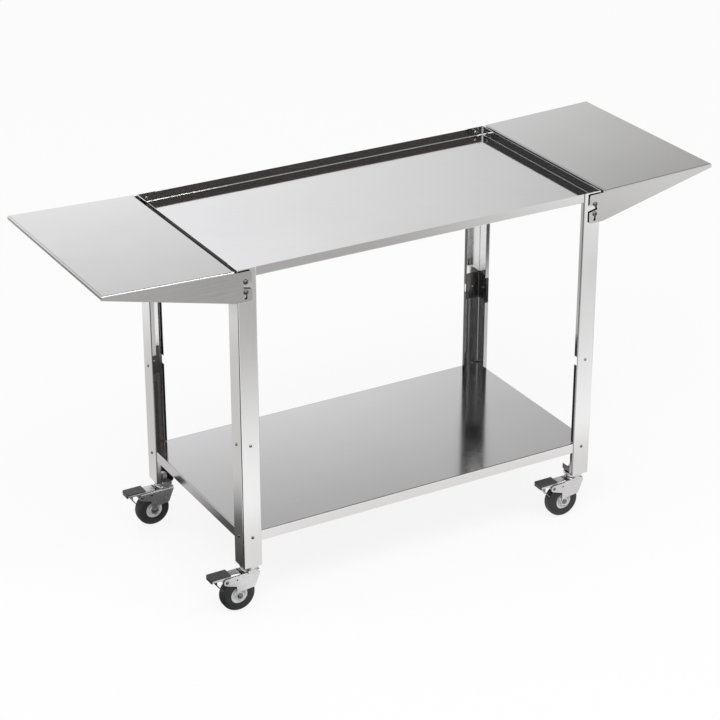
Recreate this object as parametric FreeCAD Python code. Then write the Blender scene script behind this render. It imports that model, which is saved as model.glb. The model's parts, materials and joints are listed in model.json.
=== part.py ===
import FreeCAD, Part
import math
import os

# Stainless grill cart on four braked swivel casters. A shallow tray is screwed between four folded
# angle legs, a lower shelf ties the legs together, and a folded side shelf hangs on each end.
# Millimetres, +Z up. The origin is on the floor under the middle, +X along the cart, -Y to the front.

# Overall sizes
cart_length = 900.0      # outer faces of the legs, along X
cart_depth = 486.0       # outer faces of the legs, along Y
leg_length = 702.0
caster_height = 108.0    # floor to the bottom of the legs

# Legs: folded angles with a return lip along both free edges
leg_sheet = 1.5
leg_flange = 45.0
leg_lip = 11.0
leg_bend = 1.5           # inside radius of each fold
lip_window = 22.0        # gap in the lip of the long side at the corner plate
end_lip_window = 66.0    # gap in the lip of the end at the corner plate
lip_clear = 1.5          # lips stop this far from the tray and the lower shelf
foot_plate_sheet = 3.0
foot_plate_round = 3.0
foot_plate_bend = 1.5
foot_plate_rise = 14.0   # upturned inner edge, from the bottom of the leg
corner_plate_sheet = 2.0
corner_plate_width = 36.0
corner_plate_height = 66.0
corner_plate_level = 295.0   # screw line above the bottom of the legs

# Tray and lower shelf: pans that sit inside the angles
seat_gap = 0.2           # pan wall to leg
tray_sheet = 1.0
tray_wall = 20.5
tray_drop = 0.5          # rim below the tops of the legs
lower_sheet = 1.0
lower_wall = 24.0
lower_level = 84.0       # top face above the bottom of the legs
pan_bend = 1.0           # inside radius of the folds
pan_corner = 3.0         # inside radius of the upright corners

# Small screws
screw_shank = 4.0
screw_head = 7.0
screw_head_height = 2.2
screw_head_rim = 0.7     # upright part of the head
screw_head_flat = 3.5    # flat on top of the head
screw_socket = 2.5       # hexagon socket across flats
screw_socket_depth = 1.4
screw_tail = 3.0         # thread past the last sheet
screw_clear = 0.1        # radial play of every screw and bolt in its hole
tail_recess = 0.1        # tray screws end this far inside the leg's outer face
screw_line = 22.5        # screws from the leg's outer corner
lower_screw_drop = 11.5  # below the top face of the lower shelf

# Side shelves and their hook and slot hinges
shelf_sheet = 1.2
shelf_length = 292.0
shelf_gap = 7.5          # leg face to the edge of the top
shelf_rise = 9.6         # the outer edge stands this much higher
shelf_lip = 9.0
shelf_inner_lip = 15.0   # turned down beside the legs
inner_lip_relief = 5.0   # flange to the end of the inner lip
shelf_bend = 2.0
flange_height = 71.0
flange_taper_start = 5.0     # outside the leg's face
flange_round = 4.0
ear_drop = 4.0           # the flange stops this far below the leg's top beside the fold
flange_gap = 2.8         # leg face to shelf flange
side_play = 0.3          # shelf flange to bolt head
bolt_inset = 18.0        # bolt line from the leg's outer corner
hook_drop = 27.0         # upper bolt below the top of the leg
bolt_spacing = 23.0
flange_margin = 14.0     # bolt line to the flange's inner edge
lift_travel = 13.0       # the slot lets the shelf rise this far off its hook
fold_angle = 90.0
hook_clear = 0.3
mouth_depth = 19.0       # lower edge of the notch at its mouth, below the upper bolt
notch_apex_out = 6.0
notch_apex_drop = 13.5
mouth_angle = 40.0       # swing at which the upper bolt has left the notch
bolt_shank = 5.0
bolt_head = 11.0
bolt_head_height = 4.0
bolt_socket = 3.0
bolt_socket_depth = 2.5
bolt_tail = 1.5
nut_flats = 8.0
nut_height = 4.0
sleeve_diameter = 6.9
running_clear = 0.05     # radial play of a running fit

# Casters
swivel_inset = 25.0      # swivel axis from the leg's outer faces
wheel_diameter = 80.0
wheel_trail = 32.0       # axle behind the swivel axis
tyre_width = 28.0
tyre_shoulder = 9.0
hub_diameter = 41.0
hub_width = 22.0
hub_web = 8.0
hub_rim = 3.5
hub_dish = 4.0           # slope from the web out to the rim
boss_diameter = 20.0
hub_play = 0.5           # boss to fork plate
axle_diameter = 8.0
axle_head = 13.0
axle_head_height = 3.0
fork_sheet = 2.5
fork_width = 34.0
fork_bend = 3.0
crown_level = 92.0       # top of the fork above the floor
crown_front = 24.0       # crown ends this far ahead of the swivel axis
crown_back = 18.0
axle_end_radius = 9.5    # rounded end of a fork plate
arm_end_radius = 8.0     # rounded end of a brake arm
fork_knee = 38.0         # bend in the rear edge below the crown
fork_knee_back = 5.0
fork_knee_round = 5.0
tool_hole = 4.0          # small hole in each fork plate above the wheel
tool_hole_forward = 38.0
tool_hole_level = 81.0
arm_root = 7.0           # front edge of a fork plate ahead of the axle
arm_root_level = 65.0
arm_root_round = 4.0
race_diameter = 44.0
race_chamfer = 1.5
race_groove = 3.5        # chamfer of the two edges that face each other
race_gap = 0.5           # between the two halves of the swivel bearing
lower_race_diameter = 40.0
lower_race_height = 5.0
king_bolt = 12.0
king_head = 20.0
king_head_height = 5.0
king_head_gap = 0.3
king_chamfer = 2.0
king_tail = 3.0
king_nut_flats = 19.0
king_nut_height = 10.0

# Brake pedals
pin_forward = 62.0       # pedal pin ahead of the swivel axis
pin_level = 81.0
pin_diameter = 5.0
pin_head = 8.0
pin_head_height = 1.6
pedal_sheet = 2.0
pedal_width = 27.0
pedal_bend = 1.5
pedal_level = 93.5       # top face above the floor
pedal_back = 28.0        # ends of the pedal ahead of the swivel axis
pedal_tip = 96.5
pedal_skirt = 6.0
pedal_ear = 7.0          # rounded ear about the pin
ear_spread = 14.0        # where the ears run out into the skirt
tip_round = 3.0
pad_sheet = 2.5          # black pad on the tread, folded over its tip
pad_width = 30.0
pad_start = 52.0         # inner end ahead of the swivel axis
pad_skirt = 7.0
pad_round = 4.0
spring_sheet = 1.5
spring_width = 26.0
spring_neck = 18.0       # narrower part between the pedal's skirts
spring_notch = 12.0      # gap between the two prongs that grip the tyre
spring_prong = 7.0       # height of the prongs
spring_bend = 2.0
spring_root = 72.0       # stations of the brake spring ahead of the swivel axis
spring_knee = 86.0
spring_knee_level = 77.0
spring_tip = 72.0
spring_tip_level = 60.0

dome_rim = 0.25          # upright share of a domed head's height
over = 1.0               # cuts run this far past a face

# Places worked out from the sizes
leg_bottom = caster_height
leg_top = leg_bottom + leg_length
leg_x = cart_length / 2
leg_y = cart_depth / 2
tray_top = leg_top - tray_drop
tray_bottom = tray_top - tray_wall
lower_top = leg_bottom + lower_level
lower_bottom = lower_top - lower_wall
pan_x = leg_x - leg_sheet - seat_gap
pan_y = leg_y - leg_sheet - seat_gap
corner_screw_z = leg_bottom + corner_plate_level
lower_screw_z = lower_top - lower_screw_drop
tray_screw_z = tray_top - tray_wall / 2
hook_z = leg_top - hook_drop
pivot_z = hook_z - bolt_spacing
pivot_x = leg_x - bolt_inset
head_stand = flange_gap + shelf_sheet + side_play
swivel_x = leg_x - swivel_inset
swivel_y = leg_y - swivel_inset
wheel_radius = wheel_diameter / 2
fork_inside = fork_width - 2 * fork_sheet

corners = {
    "front_left": (-1, -1),
    "front_right": (1, -1),
    "back_left": (-1, 1),
    "back_right": (1, 1),
}
X = FreeCAD.Vector(1, 0, 0)
Y = FreeCAD.Vector(0, 1, 0)
Z = FreeCAD.Vector(0, 0, 1)
V = FreeCAD.Vector


# Drawing helpers

def on_plane(plane, a, b, level):
    """A point of a drawing in the XY, XZ or YZ plane at a level along the plane's normal."""
    if plane == "XY":
        return V(a, b, level)
    if plane == "XZ":
        return V(a, level, b)
    return V(level, a, b)


def outline(points, plane, level):
    """Closed face through corners (a, b) or (a, b, radius); a radius rounds the corner with an arc."""
    corner_list = [(p[0], p[1], p[2] if len(p) > 2 else 0.0) for p in points]
    count = len(corner_list)
    ends = []
    for i, (a, b, radius) in enumerate(corner_list):
        here = on_plane(plane, a, b, level)
        before = on_plane(plane, *corner_list[i - 1][:2], level)
        after = on_plane(plane, *corner_list[(i + 1) % count][:2], level)
        if radius == 0:
            ends.append((here, here, None))
            continue
        back = (before - here).normalize()
        ahead = (after - here).normalize()
        half = back.getAngle(ahead) / 2
        reach = radius / math.tan(half)
        to_centre = (back + ahead).normalize()
        middle = here + to_centre * (radius / math.sin(half) - radius)
        ends.append((here + back * reach, here + ahead * reach, middle))
    edges = []
    for i, (start, end, middle) in enumerate(ends):
        if middle is not None:
            edges.append(Part.Arc(start, middle, end).toShape())
        next_start = ends[(i + 1) % count][0]
        if end.distanceToPoint(next_start) > 1e-6:
            edges.append(Part.LineSegment(end, next_start).toShape())
    return Part.Face(Part.Wire(edges))


def prism(points, plane, low, high):
    """A rounded outline pulled straight from one level to another."""
    normal = {"XY": Z, "XZ": Y, "YZ": X}[plane]
    return outline(points, plane, low).extrude(normal * (high - low))


def folded(points, sheet, bend, plane, low, high):
    """Folded strip: the line is one face of the sheet, which lies on the line's left-hand side."""
    steps = []
    for (a0, b0), (a1, b1) in zip(points, points[1:]):
        size = math.hypot(a1 - a0, b1 - b0)
        steps.append(((a1 - a0) / size, (b1 - b0) / size))
    near = [points[0]]
    far = [(points[0][0] - steps[0][1] * sheet, points[0][1] + steps[0][0] * sheet)]
    for (a, b), (u0, v0), (u1, v1) in zip(points[1:], steps, steps[1:]):
        share = sheet / (1 + u0 * u1 + v0 * v1)
        turns_left = u0 * v1 - v0 * u1 > 0
        near.append((a, b, bend + sheet if turns_left else bend))
        far.append((a - (v0 + v1) * share, b + (u0 + u1) * share, bend if turns_left else bend + sheet))
    last_a, last_b = points[-1]
    near.append((last_a, last_b))
    far.append((last_a - steps[-1][1] * sheet, last_b + steps[-1][0] * sheet))
    return prism(near + far[::-1], plane, low, high)


def touch(point, centre, radius, side):
    """Where a line from a point touches a circle, with the circle on the line's right (1) or left (-1)."""
    reach_a = centre[0] - point[0]
    reach_b = centre[1] - point[1]
    reach = math.hypot(reach_a, reach_b)
    heading = math.atan2(reach_b, reach_a) + side * math.asin(radius / reach)
    length = math.sqrt(reach ** 2 - radius ** 2)
    return (point[0] + length * math.cos(heading), point[1] + length * math.sin(heading))


def block(x0, x1, y0, y1, z0, z1):
    return Part.makeBox(x1 - x0, y1 - y0, z1 - z0, V(x0, y0, z0))


def turned(points):
    """Body of revolution about Z from an outline of (radius, height) corners."""
    return outline(points, "XZ", 0).revolve(V(0, 0, 0), Z, 360)


def along(shape, direction, place):
    """Turn a piece made along Z to a direction and put it in place."""
    placement = FreeCAD.Placement(place, FreeCAD.Rotation(Z, direction))
    return shape.transformed(placement.toMatrix(), True)


def drilled(shape, holes):
    """Cut round holes, each (centre, direction, radius, depth to both sides of the centre)."""
    for centre, direction, radius, depth in holes:
        start = centre - direction * depth
        shape = shape.cut(Part.makeCylinder(radius, 2 * depth, start, direction))
    return shape


def hex_bar(flats, low, high):
    """Six-sided bar along Z."""
    reach = flats / math.sqrt(3)
    turns = [math.pi / 3 * i for i in range(6)]
    ring = [(reach * math.cos(turn), reach * math.sin(turn)) for turn in turns]
    return prism(ring, "XY", low, high)


def hex_nut(flats, height, bore):
    """Six-sided nut standing on the level 0 along Z."""
    return hex_bar(flats, 0, height).cut(Part.makeCylinder(bore, height))


def small_screw(length):
    """Screw along Z with a bevelled socket head on the level 0 and the shank below it."""
    shape = turned([
        (0, -length),
        (screw_shank / 2, -length),
        (screw_shank / 2, 0),
        (screw_head / 2, 0),
        (screw_head / 2, screw_head_rim),
        (screw_head_flat / 2, screw_head_height),
        (0, screw_head_height),
    ])
    return shape.cut(hex_bar(screw_socket, screw_head_height - screw_socket_depth, screw_head_height + over))


def domed(head, head_height, shank, length):
    """Domed bolt along Z: the head stands on the level 0 and the shank runs down from it."""
    rim = head_height * dome_rim
    cap = head_height - rim
    ball = ((head / 2) ** 2 + cap ** 2) / (2 * cap)
    lean = math.asin(head / 2 / ball) / 2
    crown = V(0, 0, head_height)
    shoulder = V(head / 2, 0, rim)
    mid = V(ball * math.sin(lean), 0, head_height - ball + ball * math.cos(lean))
    line = [V(0, 0, -length), V(shank / 2, 0, -length), V(shank / 2, 0, 0), V(head / 2, 0, 0), shoulder]
    edges = [Part.LineSegment(a, b).toShape() for a, b in zip(line, line[1:])]
    edges.append(Part.Arc(shoulder, mid, crown).toShape())
    edges.append(Part.LineSegment(crown, line[0]).toShape())
    return Part.Face(Part.Wire(edges)).revolve(V(0, 0, 0), Z, 360)


def at_corner(shape, sides):
    """Take a piece drawn at the front left corner, with the corner at X0 Y0, to one of the four corners."""
    across, deep = sides
    if across > 0:
        shape = shape.mirror(V(0, 0, 0), X)
    if deep > 0:
        shape = shape.mirror(V(0, 0, 0), Y)
    return shape.translated(V(across * leg_x, deep * leg_y, 0))


def at_all_corners(pieces):
    return Part.makeCompound([at_corner(piece, sides) for sides in corners.values() for piece in pieces])


def rounded_edges(shape, radius, test):
    """Round the edges whose two ends and middle all pass a test."""
    chosen = []
    for edge in shape.Edges:
        spots = [vertex.Point for vertex in edge.Vertexes] + [edge.CenterOfMass]
        if all(test(spot) for spot in spots):
            chosen.append(edge)
    return shape.makeFillet(radius, chosen)


# Legs and what is fixed in them, all drawn at the front left corner

def screw_spots(level):
    """The front and the end screw of one leg: place on the outer face and the way the head points."""
    return [(V(screw_line, 0, level), -Y), (V(0, screw_line, level), -X)]


def leg():
    line = [(leg_lip, leg_flange), (0, leg_flange), (0, 0), (leg_flange, 0), (leg_flange, leg_lip)]
    shape = folded(line, leg_sheet, leg_bend, "XY", leg_bottom, leg_top)
    lip_start = leg_flange - leg_sheet - leg_bend
    for window, across in ((lip_window, True), (end_lip_window, False)):
        gaps = [
            (tray_bottom - lip_clear, leg_top + over),
            (corner_screw_z - window / 2, corner_screw_z + window / 2),
            (lower_bottom - lip_clear, lower_top + lip_clear),
        ]
        for low, high in gaps:
            span = (lip_start, leg_flange + over, leg_sheet, leg_lip + over)
            if not across:
                span = span[2:] + span[:2]
            shape = shape.cut(block(*span, low, high))
    holes = []
    for level in (corner_screw_z, lower_screw_z, tray_screw_z):
        for place, way in screw_spots(level):
            holes.append((place, way, screw_shank / 2 + screw_clear, leg_sheet + over))
    for level in (hook_z, pivot_z):
        holes.append((V(bolt_inset, 0, level), -Y, bolt_shank / 2 + screw_clear, leg_sheet + over))
    return drilled(shape, holes)


def foot_plate():
    """Plate across the bottom of a leg, with its inner edge turned up."""
    low = leg_sheet
    high = leg_flange - leg_sheet
    rise = leg_bottom + foot_plate_rise
    line = [(low, leg_bottom), (high, leg_bottom), (high, rise)]
    plate = folded(line, foot_plate_sheet, foot_plate_bend, "XZ", low, high)
    square = [(low, low), (high, low), (high, high), (low, high)]
    rounded = [(a, b, foot_plate_round) for a, b in square]
    plate = plate.common(prism(rounded, "XY", leg_bottom, rise))
    centre = V(swivel_inset, swivel_inset, leg_bottom)
    return drilled(plate, [(centre, Z, king_bolt / 2 + screw_clear, foot_plate_sheet + over)])


def corner_plate():
    reach = leg_sheet + corner_plate_width
    line = [(leg_sheet, reach), (leg_sheet, leg_sheet), (reach, leg_sheet)]
    low = corner_screw_z - corner_plate_height / 2
    high = corner_screw_z + corner_plate_height / 2
    plate = folded(line, corner_plate_sheet, leg_bend, "XY", low, high)
    radius = screw_shank / 2 + screw_clear
    depth = leg_sheet + corner_plate_sheet + over
    return drilled(plate, [(place, way, radius, depth) for place, way in screw_spots(corner_screw_z)])


def outside_screws(level, sheets):
    """Screws driven from outside through the leg and the sheets behind it."""
    screw = small_screw(sheets + screw_tail)
    return [along(screw, way, place) for place, way in screw_spots(level)]


def tray_screws():
    """Screws driven from inside the tray, ending in the leg."""
    stack = leg_sheet + seat_gap + tray_sheet
    screw = small_screw(stack - tail_recess)
    return [along(screw, -way, place - way * stack) for place, way in screw_spots(tray_screw_z)]


def shelf_bolts():
    """Hook and pivot bolt: they stand off the leg, so that the shelf's flange moves under their heads."""
    length = head_stand + leg_sheet + nut_height + bolt_tail
    bolt = domed(bolt_head, bolt_head_height, bolt_shank, length)
    bolt = bolt.cut(hex_bar(bolt_socket, bolt_head_height - bolt_socket_depth, bolt_head_height + over))
    return [along(bolt, -Y, V(bolt_inset, -head_stand, level)) for level in (hook_z, pivot_z)]


def shelf_bolt_nuts():
    nut = hex_nut(nut_flats, nut_height, bolt_shank / 2)
    return [along(nut, Y, V(bolt_inset, leg_sheet, level)) for level in (hook_z, pivot_z)]


def sleeve(level, end_gap):
    """Spacer tube round a shelf bolt, between the leg and the bolt's head."""
    length = head_stand - 2 * end_gap
    start = V(bolt_inset, -head_stand + end_gap, level)
    tube = Part.makeCylinder(sleeve_diameter / 2, length, start, Y)
    return drilled(tube, [(start, Y, bolt_shank / 2 + running_clear, length + over)])


# Pans

def tub(half_x, half_y, low, high, corner, bend):
    """Block with rounded upright corners and a rounded lower edge."""
    shape = block(-half_x, half_x, -half_y, half_y, low, high)
    shape = rounded_edges(shape, corner, lambda p: abs(abs(p.x) - half_x) + abs(abs(p.y) - half_y) < over)
    return rounded_edges(shape, bend, lambda p: p.z < low + over)


def pan(sheet, wall):
    """Open pan with the outside of its floor on the level 0."""
    shell = tub(pan_x, pan_y, 0, wall, pan_corner + sheet, pan_bend + sheet)
    room = tub(pan_x - sheet, pan_y - sheet, sheet, wall + over, pan_corner, pan_bend)
    return shell.cut(room)


def pan_holes(level, sheet):
    """Screw holes of a pan's walls beside the four legs."""
    holes = []
    for across, deep in corners.values():
        for place, way in screw_spots(level):
            spot = V(across * (leg_x - place.x), deep * (leg_y - place.y), level)
            holes.append((spot, way, screw_shank / 2 + screw_clear, leg_sheet + seat_gap + sheet + over))
    return holes


def top_tray():
    tray = pan(tray_sheet, tray_wall).translated(V(0, 0, tray_bottom))
    return drilled(tray, pan_holes(tray_screw_z, tray_sheet))


def lower_shelf():
    shelf = pan(lower_sheet, lower_wall).mirror(V(0, 0, 0), Z).translated(V(0, 0, lower_top))
    return drilled(shelf, pan_holes(lower_screw_z, lower_sheet))


# Side shelves, drawn for the right-hand end

def hook_notch(low, high):
    """Notch that lets the upper bolt out: its upper edge clears the bolt as the shelf rises and swings."""
    room = sleeve_diameter / 2 + hook_clear
    rise_rate = lift_travel / math.radians(fold_angle)

    def bolt_edge(degrees, side):
        swing = math.radians(degrees)
        out = -bolt_spacing * math.sin(swing)
        up = bolt_spacing * math.cos(swing) - rise_rate * swing
        run_out = -bolt_spacing * math.cos(swing)
        run_up = -bolt_spacing * math.sin(swing) - rise_rate
        size = math.hypot(run_out, run_up)
        return V(pivot_x + out + run_up / size * side, low, pivot_z + up - run_out / size * side)

    seat_out = V(pivot_x + room, low, hook_z)
    seat_in = bolt_edge(0, room)
    seat_mid = V(pivot_x + room / math.sqrt(2), low, hook_z + room / math.sqrt(2))
    mouth_top = bolt_edge(mouth_angle, room)
    mouth_bottom = V(mouth_top.x, low, hook_z - mouth_depth)
    apex = V(pivot_x + notch_apex_out, low, hook_z - notch_apex_drop)
    edges = [
        Part.Arc(seat_out, seat_mid, seat_in).toShape(),
        Part.Arc(seat_in, bolt_edge(mouth_angle / 2, room), mouth_top).toShape(),
    ]
    line = [mouth_top, mouth_bottom, apex, seat_out]
    edges += [Part.LineSegment(a, b).toShape() for a, b in zip(line, line[1:])]
    return Part.Face(Part.Wire(edges)).extrude(Y * (high - low))


def hinge_slot(low, high):
    """Upright slot for the lower bolt's sleeve, which sits in its upper end while the shelf is in use."""
    half = sleeve_diameter / 2 + running_clear
    foot = pivot_z - lift_travel
    shape = block(pivot_x - half, pivot_x + half, low, high, foot, pivot_z)
    for level in (foot, pivot_z):
        shape = shape.fuse(Part.makeCylinder(half, high - low, V(pivot_x, low, level), Y))
    return shape.removeSplitter()


def side_shelf():
    half = leg_y + flange_gap + shelf_sheet
    inner = half - shelf_sheet
    start_x = pivot_x - flange_margin
    edge_x = leg_x + shelf_gap
    end_x = edge_x + shelf_length
    slope = shelf_rise / shelf_length
    upright = shelf_sheet * math.hypot(1, slope)

    def top_at(x):
        return leg_top + (x - edge_x) * slope

    low = leg_top - flange_height
    fold = shelf_bend + shelf_sheet
    side = [
        (edge_x, low),
        (end_x, low),
        (end_x, top_at(end_x)),
        (edge_x, leg_top),
    ]
    shape = prism(side, "XZ", -half, half)
    shape = rounded_edges(shape, fold, lambda p: p.z > top_at(p.x) - over
                          and (abs(p.y) > half - over or p.x > end_x - over))
    back_x = end_x - shelf_sheet
    hollow = [
        (edge_x - over, low - over),
        (back_x, low - over),
        (back_x, top_at(back_x) - upright),
        (edge_x - over, top_at(edge_x - over) - upright),
    ]
    roof = shelf_sheet + over
    room = prism(hollow, "XZ", -inner, inner)
    room = rounded_edges(room, shelf_bend, lambda p: p.z > top_at(p.x) - roof
                         and (abs(p.y) > inner - over or p.x > back_x - over))
    shape = shape.cut(room)
    ear = [
        (start_x, low, flange_round),
        (edge_x + over, low),
        (edge_x + over, leg_top - ear_drop),
        (start_x, leg_top - ear_drop, flange_round),
    ]
    for y in (-half, inner):
        shape = shape.fuse(prism(ear, "XZ", y, y + shelf_sheet))
    lip_half = inner - inner_lip_relief
    seam_x = edge_x + 2 * fold
    join_x = seam_x + shelf_sheet
    strip = [(join_x, top_at(join_x)), (edge_x, leg_top), (edge_x, leg_top - shelf_inner_lip)]
    shape = shape.cut(block(edge_x - over, seam_x, -lip_half, lip_half, leg_top - fold, leg_top + fold))
    shape = shape.fuse(folded(strip, shelf_sheet, shelf_bend, "XZ", -lip_half, lip_half)).removeSplitter()
    taper = [
        (start_x - over, low - over),
        (leg_x + flange_taper_start, low - over),
        (leg_x + flange_taper_start, low),
        (end_x + over, top_at(end_x) - shelf_lip),
        (end_x + over, top_at(end_x) + over),
        (start_x - over, leg_top + over),
    ]
    shape = shape.common(prism(taper, "XZ", -half - over, half + over))
    return shape.cut(hook_notch(-half - over, half + over)).cut(hinge_slot(-half - over, half + over))


# Casters, drawn about a swivel axis at X0 Y0 with the wheel trailing towards -X

def upper_race():
    radius = race_diameter / 2
    low = crown_level + lower_race_height + race_gap
    section = [
        (king_bolt / 2 + screw_clear, low),
        (radius - race_groove, low),
        (radius, low + race_groove),
        (radius, leg_bottom - race_chamfer),
        (radius - race_chamfer, leg_bottom),
        (king_bolt / 2 + screw_clear, leg_bottom),
    ]
    return turned(section)


def king_bolt_and_head():
    head_top = crown_level - fork_sheet - king_head_gap
    top = leg_bottom + foot_plate_sheet + king_nut_height + king_tail
    head = turned([
        (0, head_top - king_head_height),
        (king_head / 2 - king_chamfer, head_top - king_head_height),
        (king_head / 2, head_top - king_head_height + king_chamfer),
        (king_head / 2, head_top),
        (0, head_top),
    ])
    return head.fuse(Part.makeCylinder(king_bolt / 2, top - head_top, V(0, 0, head_top))).removeSplitter()


def king_nut():
    nut = hex_nut(king_nut_flats, king_nut_height, king_bolt / 2)
    return nut.translated(V(0, 0, leg_bottom + foot_plate_sheet))


def fork():
    """Bent fork: a crown over two side plates, each with an arm that carries the pedal pin."""
    half = fork_width / 2
    section = [(half, 0), (half, crown_level), (-half, crown_level), (-half, 0)]
    far = pin_forward + arm_end_radius
    body = folded(section, fork_sheet, fork_bend, "YZ", -far, crown_back)
    axle = (-wheel_trail, wheel_radius)
    pin = (-pin_forward, pin_level)
    knee = (fork_knee_back, crown_level - fork_knee)
    brow = (-crown_front - arm_end_radius, crown_level - fork_sheet)
    root = (axle[0] - arm_root, arm_root_level)
    side = [
        touch(knee, axle, axle_end_radius, -1),
        (knee[0], knee[1], fork_knee_round),
        (crown_back, crown_level - fork_sheet - fork_bend),
        (crown_back, crown_level + over),
        (-crown_front - fork_bend, crown_level + over),
        brow,
        touch(brow, pin, arm_end_radius, -1),
        pin,
        touch(root, pin, arm_end_radius, 1),
        (root[0], root[1], arm_root_round),
        (root[0], axle[1]),
        axle,
    ]
    plates = prism(side, "XZ", -half - over, half + over)
    for centre, radius in ((axle, axle_end_radius), (pin, arm_end_radius)):
        start = V(centre[0], -half - over, centre[1])
        plates = plates.fuse(Part.makeCylinder(radius, fork_width + 2 * over, start, Y))
    body = body.common(plates)
    slot = block(-far - over, -crown_front, -fork_inside / 2, fork_inside / 2, 0, crown_level + over)
    dish = turned([
        (0, crown_level - fork_sheet),
        (lower_race_diameter / 2, crown_level - fork_sheet),
        (lower_race_diameter / 2, crown_level + lower_race_height - race_groove),
        (lower_race_diameter / 2 - race_groove, crown_level + lower_race_height),
        (0, crown_level + lower_race_height),
    ])
    body = body.cut(slot).fuse(dish.common(block(-far, crown_back, -half, half, 0, 2 * crown_level)))
    holes = [
        (V(0, 0, crown_level), Z, king_bolt / 2 + running_clear, lower_race_height + over),
        (V(axle[0], 0, axle[1]), Y, axle_diameter / 2 + running_clear, fork_width),
        (V(pin[0], 0, pin[1]), Y, pin_diameter / 2 + running_clear, fork_width),
        (V(-tool_hole_forward, 0, tool_hole_level), Y, tool_hole / 2, fork_width),
    ]
    return drilled(body.removeSplitter(), holes)


def cross_pin(diameter, head, head_height):
    """Pin across the fork along Z with a domed head on each side."""
    half = fork_width / 2
    end = domed(head, head_height, diameter, half).translated(V(0, 0, half))
    return end.fuse(end.mirror(V(0, 0, 0), Z)).removeSplitter()


def axle():
    return along(cross_pin(axle_diameter, axle_head, axle_head_height), Y, V(-wheel_trail, 0, wheel_radius))


def pedal_pin():
    return along(cross_pin(pin_diameter, pin_head, pin_head_height), Y, V(-pin_forward, 0, pin_level))


def tyre():
    half = tyre_width / 2
    section = [
        (hub_diameter / 2, -half),
        (wheel_radius, -half, tyre_shoulder),
        (wheel_radius, half, tyre_shoulder),
        (hub_diameter / 2, half),
    ]
    return along(turned(section), Y, V(-wheel_trail, 0, wheel_radius))


def hub():
    """Dished hub: a boss on the axle, a thin web and a rim under the tyre."""
    bore = axle_diameter / 2 + running_clear
    boss = boss_diameter / 2
    long = fork_inside / 2 - hub_play
    rim = hub_diameter / 2
    side = [
        (boss, long),
        (boss, hub_web / 2),
        (rim - hub_rim - hub_dish, hub_web / 2),
        (rim - hub_rim, hub_width / 2),
        (rim, hub_width / 2),
    ]
    other = [(radius, -height) for radius, height in side[::-1]]
    section = [(bore, long)] + side + other + [(bore, -long)]
    return along(turned(section), Y, V(-wheel_trail, 0, wheel_radius))


def pedal():
    """Rocker pedal: a tread folded down along both sides and its tip, with ears on the pin."""
    half = pedal_width / 2
    section = [(half, 0), (half, pedal_level), (-half, pedal_level), (-half, 0)]
    channel = folded(section, pedal_sheet, pedal_bend, "YZ", -pedal_tip, -pedal_back)
    skirt = pedal_level - pedal_skirt
    pin = (-pin_forward, pin_level)
    ahead = (-pin_forward - ear_spread, skirt)
    behind = (-pin_forward + ear_spread, skirt)
    side = [
        (-pedal_back, pedal_level + over),
        (-pedal_tip, pedal_level + over),
        (-pedal_tip, skirt, tip_round),
        ahead,
        touch(ahead, pin, pedal_ear, -1),
        pin,
        touch(behind, pin, pedal_ear, 1),
        behind,
        (-pedal_back, pedal_level - pedal_sheet),
    ]
    cheeks = prism(side, "XZ", -half - over, half + over)
    start = V(pin[0], -half - over, pin[1])
    cheeks = cheeks.fuse(Part.makeCylinder(pedal_ear, pedal_width + 2 * over, start, Y))
    shape = channel.common(cheeks)
    tip = block(-pedal_tip, -pedal_tip + pedal_sheet, -half + pedal_bend, half - pedal_bend,
                skirt + tip_round, pedal_level - pedal_sheet / 2)
    shape = shape.fuse(tip).removeSplitter()
    hole = (V(pin[0], 0, pin[1]), Y, pin_diameter / 2 + running_clear, pedal_width)
    return drilled(shape, [hole])


def pedal_pad():
    """Pad on the outer part of the tread, with a skirt over the tip and rounded outer corners."""
    half = pad_width / 2
    foot = pedal_level - pad_skirt
    line = [(-pedal_tip, foot), (-pedal_tip, pedal_level), (-pad_start, pedal_level)]
    strip = folded(line, pad_sheet, 0, "XZ", -half, half)
    tip = -pedal_tip - pad_sheet
    plan = [(tip, -half, pad_round), (-pad_start, -half), (-pad_start, half), (tip, half, pad_round)]
    return strip.common(prism(plan, "XY", foot, pedal_level + pad_sheet))


def brake_spring():
    """Bent spring under the tread whose two prongs press on the tyre."""
    under = pedal_level - pedal_sheet
    line = [
        (-spring_root, under),
        (-spring_knee, under),
        (-spring_knee, spring_knee_level),
        (-spring_tip, spring_tip_level),
    ]
    half = spring_width / 2
    shape = folded(line, spring_sheet, spring_bend, "XZ", -half, half)
    ahead = -spring_knee - spring_bend - over
    neck_foot = pedal_level - pedal_skirt - over
    for low, high in ((-half, -spring_neck / 2), (spring_neck / 2, half)):
        shape = shape.cut(block(ahead, 0, low, high, neck_foot, pedal_level))
    notch = block(ahead, 0, -spring_notch / 2, spring_notch / 2, 0, spring_tip_level + spring_prong)
    return shape.cut(notch)


# The nodes

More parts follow.
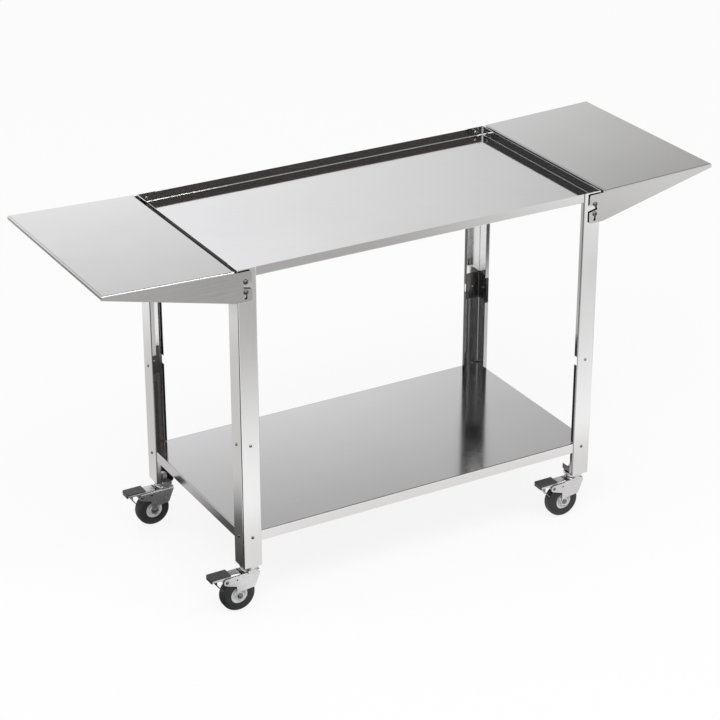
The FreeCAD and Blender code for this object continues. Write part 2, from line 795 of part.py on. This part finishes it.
nodes = {}
for name, sides in corners.items():
    nodes["leg_" + name] = at_corner(leg(), sides)
    nodes["foot_plate_" + name] = at_corner(foot_plate(), sides)
    nodes["corner_plate_" + name] = at_corner(corner_plate(), sides)
nodes["top_tray"] = top_tray()
nodes["lower_shelf"] = lower_shelf()
nodes["tray_screws"] = at_all_corners(tray_screws())
corner_stack = leg_sheet + corner_plate_sheet
nodes["corner_plate_screws"] = at_all_corners(outside_screws(corner_screw_z, corner_stack))
lower_stack = leg_sheet + seat_gap + lower_sheet
nodes["lower_shelf_screws"] = at_all_corners(outside_screws(lower_screw_z, lower_stack))
nodes["shelf_bolts"] = at_all_corners(shelf_bolts())
nodes["shelf_bolt_nuts"] = at_all_corners(shelf_bolt_nuts())
nodes["hook_sleeves"] = at_all_corners([sleeve(hook_z, 0)])
king_place = V(swivel_inset, swivel_inset, 0)
nodes["caster_bolts"] = at_all_corners([king_bolt_and_head().translated(king_place)])
nodes["caster_nuts"] = at_all_corners([king_nut().translated(king_place)])
nodes["caster_upper_races"] = at_all_corners([upper_race().translated(king_place)])

for side_name, across in (("left", -1), ("right", 1)):
    shelf = side_shelf()
    nodes[side_name + "_side_shelf"] = shelf if across > 0 else shelf.mirror(V(0, 0, 0), X)
    pair = [at_corner(sleeve(pivot_z, running_clear), (across, deep)) for deep in (-1, 1)]
    nodes[side_name + "_pivot_sleeves"] = Part.makeCompound(pair)

caster_pieces = {
    "fork": fork(),
    "axle": axle(),
    "hub": hub(),
    "tyre": tyre(),
    "pedal_pin": pedal_pin(),
    "pedal": pedal(),
    "pedal_pad": pedal_pad(),
    "brake_spring": brake_spring(),
}
for name, (across, deep) in corners.items():
    place = V(across * swivel_x, deep * swivel_y, 0)
    for piece_name, piece in caster_pieces.items():
        nodes[piece_name + "_" + name] = piece.translated(place)

os.makedirs("parts", exist_ok=True)
for name, shape in nodes.items():
    shape.exportStep("parts/" + name + ".step")
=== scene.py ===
import json
import math

import bpy
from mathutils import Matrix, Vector


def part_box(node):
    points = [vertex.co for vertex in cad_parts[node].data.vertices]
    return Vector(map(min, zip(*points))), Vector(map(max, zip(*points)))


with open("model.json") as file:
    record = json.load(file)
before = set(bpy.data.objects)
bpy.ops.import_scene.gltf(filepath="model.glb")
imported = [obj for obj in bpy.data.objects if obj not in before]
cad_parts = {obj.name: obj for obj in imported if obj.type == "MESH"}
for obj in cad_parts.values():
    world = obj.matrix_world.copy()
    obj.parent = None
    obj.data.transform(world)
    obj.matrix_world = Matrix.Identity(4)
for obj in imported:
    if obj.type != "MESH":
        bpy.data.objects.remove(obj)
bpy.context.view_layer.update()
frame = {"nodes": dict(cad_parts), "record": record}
nodes = frame["nodes"]

# Lengths are in metres and angles in degrees. An azimuth runs from +Y towards +X.

# Places with painted light or shade, and the screws' bare tips, each bounded a little inside the metal of the
# face it is measured from
leg_inner, leg_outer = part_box("leg_back_right")
TRAY_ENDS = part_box("top_tray")[1][0] - 0.0005
LEG_ENDS = leg_outer[0] - 0.0007
LIP_EDGES = (leg_inner[0] + 0.0022, leg_inner[1] + 0.0022)
SCREW_TIPS = (leg_outer[0] - 0.0036, leg_outer[1] - 0.0036)
LOWER_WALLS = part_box("lower_shelf")[1][1] - 0.0004
BEND_WIDTH = 0.002

# Distance in front of the middle and behind it at which a sheet's fade of painted light and shade ends
FADE_DEPTH = 0.24

# Brush marks per metre along X, Y and Z
TRAY_GRAIN = (5.0, 420.0, 420.0)
SHELF_GRAIN = (5.0, 380.0, 380.0)
LEG_GRAIN = (420.0, 420.0, 5.0)
PLAIN_GRAIN = (90.0, 90.0, 90.0)

# Lengths over which gaps get dirt and painted shade, edges wear and the finishes stand up
GAP_REACH = 0.012
END_GAP_REACH = 0.03
SHEET_EDGE = 0.0006
MOULDED_EDGE = 0.0012
RELIEF = 0.0002

# Factors on a sheet's colour: its own tone and worn edges, then painted shade on bends and lips and painted
# light on walls
SHEET_TONES = (0.96, 1.04)
SHEET_WEAR = 1.15
BEND_PAINTED_SHADE = 0.35
WALL_PAINTED_LIGHT = 1.36
RIGHT_LIP_PAINTED_SHADE = 0.5
BACK_Y_LIP_PAINTED_SHADE = 0.6
BACK_X_LIP_PAINTED_SHADE = 0.12

# Colours of dirt and painted shade in gaps, of bare steel at the screws' tips and of dust
SHEET_DIRT_AND_SHADE = (0.02, 0.019, 0.018)
PLATE_DIRT_AND_SHADE = (0.03, 0.028, 0.026)
BARE_STEEL = (0.92, 0.92, 0.92)
DUST = (0.3, 0.29, 0.28)

# Studio
PHOTO_PIXELS = 720
WHITE = (1.0, 1.0, 1.0)
PAPER_TONES = ((0.92, 0.92, 0.92), (0.94, 0.94, 0.94))
FLOOR_GLOW = 0.85
CARD_TINT = (1.0, 0.98, 0.97)
CARD_STEP = 0.001
SKY_BEHIND = (0.45, 0.445, 0.44)
SKY_PANEL = (1.0, 1.0, 1.015)
SKY_SKIRTING = (0.05, 0.05, 0.05)

# Limit between the sky's Ray Depth in a reflection, 2, and in the reflection of a reflection, 3
SECOND_REFLECTION = 2.5

# Dark patches of the sky: azimuth, elevation, angles from there to the core's edge and to the end, colour.
# The second ones show in the reflection of a reflection alone.
OPEN_PATCHES = (
    (90, 62, 12, 24, (0.05, 0.05, 0.05)),
    (-9, 38, 6, 10, (0.03, 0.03, 0.03)),
)
SECOND_PATCHES = (
    (-32, 25, 12, 27, (0.045, 0.045, 0.046)),
    (150, 24, 13, 25, (0.055, 0.048, 0.046)),
    (-147, 25, 11, 24, (0.03, 0.03, 0.03)),
)


class Graph:
    """Adds shader nodes to a tree and joins them. Each input is a value, a socket or a node."""

    def __init__(self, tree):
        self.tree = tree

    def own(self, name):
        """Node that a new tree comes with."""
        return self.tree.nodes[name]

    def add(self, kind, sockets=None, **settings):
        node = self.tree.nodes.new(kind)
        for key, value in settings.items():
            setattr(node, key, value)
        for key, value in (sockets or {}).items():
            self.put(node.inputs[key], value)
        return node

    def put(self, socket, value):
        if isinstance(value, bpy.types.NodeSocket):
            self.tree.links.new(value, socket)
        elif isinstance(value, bpy.types.Node):
            self.tree.links.new(value.outputs[0], socket)
        else:
            socket.default_value = value

    def math(self, operation, a, b=0.0):
        return self.add("ShaderNodeMath", {0: a, 1: b}, operation=operation).outputs[0]

    def product(self, a, b):
        return self.math("MULTIPLY", a, b)

    def vector(self, operation, a, b):
        node = self.add("ShaderNodeVectorMath", {0: a, 1: b}, operation=operation)
        return node.outputs["Value" if operation in ("DOT_PRODUCT", "DISTANCE") else "Vector"]

    def spread(self, value, low, high, to_low=0.0, to_high=1.0, smooth=False):
        """The range from low to high carried over to the other one, and held at its ends."""
        node = self.add("ShaderNodeMapRange", {"Value": value, "From Min": low, "From Max": high,
                                               "To Min": to_low, "To Max": to_high})
        node.interpolation_type = "SMOOTHSTEP" if smooth else "LINEAR"
        return node.outputs[0]

    def fall(self, value, low, high, smooth=False):
        """1 up to low, 0 from high on."""
        return self.spread(value, low, high, 1.0, 0.0, smooth)

    def mix(self, share, a, b):
        """Colour a where the share is 0, b where it is 1."""
        node = self.add("ShaderNodeMix", data_type="RGBA")
        self.put(node.inputs["Factor"], share)
        self.put(node.inputs["A"], (*a, 1) if isinstance(a, tuple) else a)
        self.put(node.inputs["B"], (*b, 1) if isinstance(b, tuple) else b)
        return node.outputs["Result"]

    def noise(self, where, scale, detail, rough):
        sockets = {"Vector": where, "Scale": scale, "Detail": detail, "Roughness": rough}
        return self.add("ShaderNodeTexNoise", sockets).outputs["Fac"]

    def axes(self, where):
        return self.add("ShaderNodeSeparateXYZ", {0: where}).outputs


def times(colour, factor):
    return tuple(min(1.0, c * factor) for c in colour)


def start(name):
    """New material, its graph and its object coordinates."""
    material = bpy.data.materials.new(name)
    material.use_nodes = True
    graph = Graph(material.node_tree)
    return material, graph, graph.add("ShaderNodeTexCoord").outputs["Object"]


def dress(graph, shade, gloss, metallic, height, strength):
    """Colour, roughness, metal and relief of the material's main shader."""
    shader = graph.own("Principled BSDF")
    graph.put(shader.inputs["Base Color"], shade)
    graph.put(shader.inputs["Roughness"], gloss)
    graph.put(shader.inputs["Metallic"], metallic)
    bump = graph.add("ShaderNodeBump", {"Height": height, "Strength": strength, "Distance": RELIEF})
    graph.put(shader.inputs["Normal"], bump)


def hollow(graph, reach, closed, clear):
    """How far the surroundings within the reach close a place in: 1 in narrow gaps, 0 on open faces."""
    open_share = graph.add("ShaderNodeAmbientOcclusion", {"Distance": reach}, samples=8).outputs["AO"]
    return graph.fall(open_share, closed, clear)


def worn(graph, radius):
    """1 on sharp edges, 0 on flat faces."""
    normal = graph.add("ShaderNodeNewGeometry").outputs["Normal"]
    soft = graph.add("ShaderNodeBevel", {"Radius": radius}, samples=4).outputs[0]
    return graph.fall(graph.vector("DOT_PRODUCT", normal, soft), 0.80, 0.99)


def paint_front_to_back_light(graph, shade, place, front, back):
    """Painted light and shade: the colour times a factor that runs evenly from the front edges of the sheets
    to the back ones.
    """
    factor = graph.spread(place[1], -FADE_DEPTH, FADE_DEPTH, front, back)
    return graph.vector("MULTIPLY", shade, factor)


def paint_wall_light(graph, shade, colour, place, wall):
    """Painted light on the front and back walls, beyond the Y of the wall either way, with a painted dark
    line on the bend above them.
    """
    deep = graph.math("ABSOLUTE", place[1])
    for edge, tint in ((wall - BEND_WIDTH, BEND_PAINTED_SHADE), (wall, WALL_PAINTED_LIGHT)):
        shade = graph.mix(graph.math("GREATER_THAN", deep, edge), shade, times(colour, tint))
    return shade


def paint_lip_shade(graph, shade, colour, place, edges):
    """Painted shade on the lips of the right and the back legs. The lips lie nearer to the
    middle than the X or the Y of the edges."""
    back = graph.math("GREATER_THAN", place[1], 0.0)
    right = graph.math("GREATER_THAN", place[0], 0.0)
    x_lip = graph.math("LESS_THAN", graph.math("ABSOLUTE", place[0]), edges[0])
    y_lip = graph.math("LESS_THAN", place[1], edges[1])
    for side, lip, tint in ((right, x_lip, RIGHT_LIP_PAINTED_SHADE),
                            (back, y_lip, BACK_Y_LIP_PAINTED_SHADE),
                            (back, x_lip, BACK_X_LIP_PAINTED_SHADE)):
        shade = graph.mix(graph.product(side, lip), shade, times(colour, tint))
    return shade


def brushed(name, colour, rough, grain, dirt_and_shade=1.0, lines=0.03, ends=None, lips=None, fade=None, wall=None):
    """Brushed stainless sheet with dirt and painted shade in its gaps, and painted shade over a longer reach
    beyond the X of the ends. The fade gives the factors of painted light and shade on the colour in front and
    behind."""
    material, graph, spot = start(name)
    place = graph.axes(spot)
    stretched = graph.add("ShaderNodeMapping", {"Vector": spot, "Scale": grain})
    marks = graph.noise(stretched, scale=1.0, detail=4.0, rough=0.7)
    clouds = graph.noise(spot, scale=3.5, detail=3.0, rough=0.55)
    smears = graph.noise(spot, scale=9.0, detail=4.0, rough=0.6)
    tone = graph.math("ADD", graph.product(marks, 0.5), graph.product(clouds, 0.5))
    dark, light = (times(colour, factor) for factor in SHEET_TONES)
    shade = graph.mix(graph.spread(tone, 0.3, 0.7), dark, light)
    shade = graph.mix(graph.product(worn(graph, SHEET_EDGE), 0.5), shade, times(colour, SHEET_WEAR))
    # Painted light and shade from the front to the back
    if fade:
        shade = paint_front_to_back_light(graph, shade, place, *fade)
    # Painted light on the walls and painted shade on their bend
    if wall:
        shade = paint_wall_light(graph, shade, colour, place, wall)
    # Painted shade on the legs' lips
    if lips:
        shade = paint_lip_shade(graph, shade, colour, place, lips)
    # Dirt and painted shade in narrow gaps, and painted shade over a longer reach beyond the ends
    gap = hollow(graph, GAP_REACH, closed=0.18, clear=0.42)
    if ends:
        beyond = graph.math("GREATER_THAN", graph.math("ABSOLUTE", place[0]), ends)
        end_gap = hollow(graph, END_GAP_REACH, closed=0.62, clear=0.80)
        gap = graph.math("MAXIMUM", gap, graph.product(beyond, end_gap))
    shade = graph.mix(graph.product(gap, dirt_and_shade), shade, SHEET_DIRT_AND_SHADE)
    gloss = graph.spread(marks, 0.3, 0.7, rough - 0.03, rough + 0.03)
    gloss = graph.math("ADD", gloss, graph.spread(smears, 0.5, 0.8, to_high=0.03, smooth=True))
    dress(graph, shade, gloss, 1.0, marks, lines)
    return material


def plated(name, colour, rough=0.20, mottle=0.05, dirt_and_shade=1.0, tips=None):
    """Zinc plate or turned steel, mottled, with dirt and painted shade in its recesses. The tips, nearer to
    the middle than their X and Y, are bare steel."""
    material, graph, spot = start(name)
    clouds = graph.noise(spot, scale=70.0, detail=4.0, rough=0.6)
    flecks = graph.noise(spot, scale=420.0, detail=2.0, rough=0.5)
    tone = graph.math("ADD", graph.product(flecks, 0.15), graph.product(clouds, 0.85))
    tone = graph.spread(tone, 0.35, 0.65)
    shade = graph.mix(tone, times(colour, 1 - mottle), times(colour, 1 + mottle))
    # Dirt and painted shade in recesses
    recess = hollow(graph, GAP_REACH, closed=0.40, clear=0.80)
    shade = graph.mix(graph.product(recess, dirt_and_shade), shade, PLATE_DIRT_AND_SHADE)
    if tips:
        place = graph.axes(spot)
        near_x = graph.math("LESS_THAN", graph.math("ABSOLUTE", place[0]), tips[0])
        near_y = graph.math("LESS_THAN", graph.math("ABSOLUTE", place[1]), tips[1])
        shade = graph.mix(graph.product(near_x, near_y), shade, BARE_STEEL)
    gloss = graph.spread(tone, 0.0, 1.0, rough - 0.03, rough + 0.03)
    dress(graph, shade, gloss, 1.0, clouds, 0.01)
    return material


def moulded(name, colour, rough, pore, dust, wear):
    """Moulded plastic or rubber with a fine grain, some dust and paler worn edges."""
    material, graph, spot = start(name)
    pores = graph.noise(spot, scale=pore, detail=3.0, rough=0.6)
    clouds = graph.noise(spot, scale=22.0, detail=4.0, rough=0.6)
    shade = graph.mix(graph.spread(clouds, 0.35, 0.65), times(colour, 0.88), times(colour, 1.12))
    edge = graph.product(worn(graph, MOULDED_EDGE), graph.spread(clouds, 0.4, 0.6, to_low=0.3))
    worn_colour = times(tuple(c + 0.06 for c in colour), 1.3)
    shade = graph.mix(graph.product(edge, wear), shade, worn_colour)
    powder = graph.product(graph.spread(pores, 0.55, 0.7), dust)
    shade = graph.mix(powder, shade, DUST)
    gloss = graph.spread(clouds, 0.3, 0.7, rough - 0.06, rough + 0.08)
    dress(graph, shade, gloss, 0.0, pores, 0.10)
    return material


# Finish of each material slot
finishes = {
    # Tray: painted shade in the gaps beyond its ends
    "tray_steel": brushed("tray_brushed", (0.80, 0.80, 0.80), rough=0.08, grain=TRAY_GRAIN, lines=0.01,
                          ends=TRAY_ENDS),
    # Lower shelf: painted light and shade from the front to the back, painted light on the walls and painted
    # shade on their bend
    "lower_steel": brushed("lower_brushed", (0.69, 0.685, 0.69), rough=0.12, grain=SHELF_GRAIN, dirt_and_shade=0.6,
                           fade=(0.96, 1.12), wall=LOWER_WALLS),
    # Side shelves: painted light and shade from the front to the back
    "shelf_steel": brushed("shelf_brushed", (0.72, 0.715, 0.71), rough=0.20, grain=SHELF_GRAIN,
                           fade=(0.87, 1.12)),
    # Legs: painted shade on their lips and in the gaps beyond their ends
    "leg_steel": brushed("leg_brushed", (0.88, 0.88, 0.88), rough=0.13, grain=LEG_GRAIN,
                         ends=LEG_ENDS, lips=LIP_EDGES),
    # Sheets inside the legs: a dark colour that is painted shade
    "inner_steel": brushed("inner_sheet_painted_shade", (0.16, 0.155, 0.155), rough=0.25, grain=PLAIN_GRAIN, dirt_and_shade=0.8),
    # Bolts: darker than their steel, as painted dark reflection
    "bolt_steel": plated("turned_steel_painted_dark", (0.24, 0.235, 0.235)),
    "zinc_plate": plated("zinc_plate", (0.80, 0.80, 0.815), rough=0.27, mottle=0.03, dirt_and_shade=0.95),
    "pad_black": moulded("pad_plastic", (0.045, 0.045, 0.045), rough=0.30, pore=900.0, dust=0.02, wear=0.4),
    "hub_grey": moulded("hub_plastic", (0.80, 0.81, 0.805), rough=0.40, pore=700.0, dust=0.01, wear=0.2),
    "tyre_rubber": moulded("tyre_rubber", (0.020, 0.020, 0.021), rough=0.52, pore=800.0, dust=0.05, wear=0.2),
}

# Finish of the nodes whose names begin like this, in place of their slot's
own_finishes = {
    "corner_plate_screws": plated("screw_steel", (0.42, 0.415, 0.415), tips=SCREW_TIPS),
    # Shelf bolts: darker still, as painted dark reflection
    "shelf_bolts": plated("steel_painted_dark", (0.15, 0.14, 0.135)),
    "brake_spring": plated("spring_steel", (0.27, 0.265, 0.26), rough=0.24),
}

for part in frame["record"]["subparts"]:
    piece = nodes[part["node"]]
    finish = finishes[part["material_slot"]]
    for beginning, own_finish in own_finishes.items():
        if part["node"].startswith(beginning):
            finish = own_finish
    if not piece.material_slots:
        piece.data.materials.append(finish)
    for slot in piece.material_slots:
        slot.material = finish


def heading(azimuth, elevation=0.0):
    """Unit vector by its azimuth and its elevation."""
    turn = math.radians(azimuth)
    lift = math.radians(elevation)
    return (math.sin(turn) * math.cos(lift), math.cos(turn) * math.cos(lift), math.sin(lift))


def sky():
    """Pale sky, greyer behind the cart, where a white panel stands low on the left. Its dark patches give the
    metal its dark lines, and some show in the reflection of a reflection alone. To the camera it is white."""
    world = bpy.data.worlds.new("studio")
    bpy.context.scene.world = world
    world.use_nodes = True
    graph = Graph(world.node_tree)
    way = graph.add("ShaderNodeTexCoord").outputs["Generated"]
    height = graph.axes(way)[2]

    def along(azimuth, elevation=0.0):
        """Cosine of the angle to a direction."""
        return graph.vector("DOT_PRODUCT", way, heading(azimuth, elevation))

    def patch(azimuth, elevation, core, reach):
        """1 inside the core angle about a direction, falling to 0 at the reach."""
        far, near = (math.cos(math.radians(angle)) for angle in (reach, core))
        return graph.spread(along(azimuth, elevation), far, near, smooth=True)

    light = graph.spread(height, 0.0, 0.8, 0.66, 1.0, smooth=True)
    behind = graph.spread(along(25), 0.25, 0.65, smooth=True)
    light = graph.mix(behind, light, SKY_BEHIND)
    left = graph.fall(along(115), -0.06, 0.32, smooth=True)
    low = graph.fall(height, 0.425, 0.53, smooth=True)
    light = graph.mix(graph.product(graph.product(left, low), behind), light, SKY_PANEL)
    rays = graph.add("ShaderNodeLightPath").outputs
    second = graph.math("GREATER_THAN", rays["Ray Depth"], SECOND_REFLECTION)
    skirting = graph.product(graph.fall(height, 0.20, 0.30, smooth=True), behind)
    light = graph.mix(graph.product(skirting, second), light, SKY_SKIRTING)
    for *angles, colour in OPEN_PATCHES:
        light = graph.mix(patch(*angles), light, colour)
    for *angles, colour in SECOND_PATCHES:
        light = graph.mix(graph.product(patch(*angles), second), light, colour)
    light = graph.mix(rays["Is Camera Ray"], light, WHITE)
    graph.put(graph.own("Background").inputs["Color"], light)


def floor():
    """Pale paper that keeps the cart's shadow and looks nearly white to the camera and in reflections."""
    bpy.ops.mesh.primitive_circle_add(vertices=96, radius=60, fill_type="NGON")
    ground = bpy.context.object
    ground.name = "studio_floor"
    material, graph, spot = start("floor_paper")
    shader = graph.own("Principled BSDF")
    tone = graph.noise(spot, scale=2.0, detail=3.0, rough=0.5)
    graph.put(shader.inputs["Base Color"], graph.mix(tone, *PAPER_TONES))
    shader.inputs["Roughness"].default_value = 0.9
    shader.inputs["Specular IOR Level"].default_value = 0.1
    rays = graph.add("ShaderNodeLightPath").outputs
    seen = graph.math("MAXIMUM", rays["Is Camera Ray"], rays["Is Glossy Ray"])
    seen = graph.math("MAXIMUM", seen, rays["Is Transmission Ray"])
    glow = graph.add("ShaderNodeEmission", {"Color": (*WHITE, 1)})
    blend = graph.add("ShaderNodeMixShader", {0: graph.product(seen, FLOOR_GLOW), 1: shader, 2: glow})
    graph.put(graph.own("Material Output").inputs["Surface"], blend)
    ground.data.materials.append(material)


cards = []


def card(name, centre, radii, glow, core, turn=0.0):
    """Round grey card with a soft edge, flat over the floor and turned about Z. Reflections show it, the
    camera doesn't. Each lies over those before it."""
    cards.append(name)
    level = CARD_STEP * len(cards)
    bpy.ops.mesh.primitive_plane_add(size=2, location=(*centre, level))
    sheet = bpy.context.object
    sheet.name = name
    sheet.scale = (*radii, 1)
    sheet.rotation_euler = (0, 0, math.radians(turn))
    material, graph, spot = start(name + "_grey")
    away = graph.vector("DISTANCE", spot, (0, 0, 0))
    cover = graph.fall(away, core, 1.0, smooth=True)
    clear = graph.add("ShaderNodeBsdfTransparent")
    tint = graph.add("ShaderNodeEmission", {"Color": (*times(CARD_TINT, glow), 1)})
    blend = graph.add("ShaderNodeMixShader", {0: cover, 1: clear, 2: tint})
    graph.put(graph.own("Material Output").inputs["Surface"], blend)
    sheet.data.materials.append(material)
    sheet.visible_camera = False
    sheet.visible_diffuse = False
    sheet.visible_shadow = False


def hang(name, data, place, ahead):
    """Lamp or camera at a place, looking along a direction."""
    holder = bpy.data.objects.new(name, data)
    bpy.context.scene.collection.objects.link(holder)
    holder.location = place
    holder.rotation_mode = "QUATERNION"
    holder.rotation_quaternion = Vector(ahead).to_track_quat("-Z", "Y")
    return holder


def softbox(name, place, aim, size, power):
    lamp = bpy.data.lights.new(name, "AREA")
    lamp.shape = "RECTANGLE"
    lamp.size, lamp.size_y = size
    lamp.energy = power
    hang(name, lamp, place, Vector(aim) - Vector(place))


def camera(place, azimuth, elevation, focal_pixels):
    """Camera by its place, the direction in which it looks and its focal length in pixels of the photo."""
    data = bpy.data.cameras.new("photo_view")
    data.sensor_width = 36.0
    data.lens = data.sensor_width * focal_pixels / PHOTO_PIXELS
    data.clip_start = 0.1
    data.clip_end = 200.0
    bpy.context.scene.camera = hang("photo_view", data, place, heading(azimuth, elevation))


sky()
floor()
card("front_card", centre=(0.45, -1.88), radii=(1.45, 1.35), glow=0.48, core=0.2)
card("near_card", centre=(0.20, -0.42), radii=(0.95, 0.28), glow=0.74, core=0.4)
card("far_left_card", centre=(-0.95, 0.55), radii=(0.75, 1.0), glow=0.62, core=0.4)
card("corner_card", centre=(-1.85, -0.85), radii=(1.25, 1.00), glow=0.08, core=0.75)
card("back_leg_card", centre=(1.31, -1.15), radii=(0.12, 0.62), glow=0.01, core=0.65, turn=32.6)
card("left_card", centre=(-0.57, 0.0), radii=(0.28, 0.42), glow=0.16, core=0.2)
card("camera_card", centre=(-0.83, -0.71), radii=(0.30, 0.95), glow=0.01, core=0.6, turn=-24.3)
card("lip_card", centre=(-1.46, 1.66), radii=(0.43, 0.77), glow=0.26, core=0.7)
card("under_card", centre=(0.0, 0.09), radii=(0.75, 0.17), glow=0.09, core=0.7)
softbox("key", place=(-2.2, -2.4, 4.2), aim=(0, 0, 0.5), size=(2.4, 2.4), power=60)
softbox("front_top", place=(0.36, -1.16, 2.6), aim=(0, 0, 0.8), size=(0.8, 0.45), power=9)
camera(place=(-2.3532, -4.0856, 2.6543), azimuth=29.69, elevation=-25.53, focal_pixels=2297.0)
bpy.context.scene.view_settings.view_transform = "Standard"
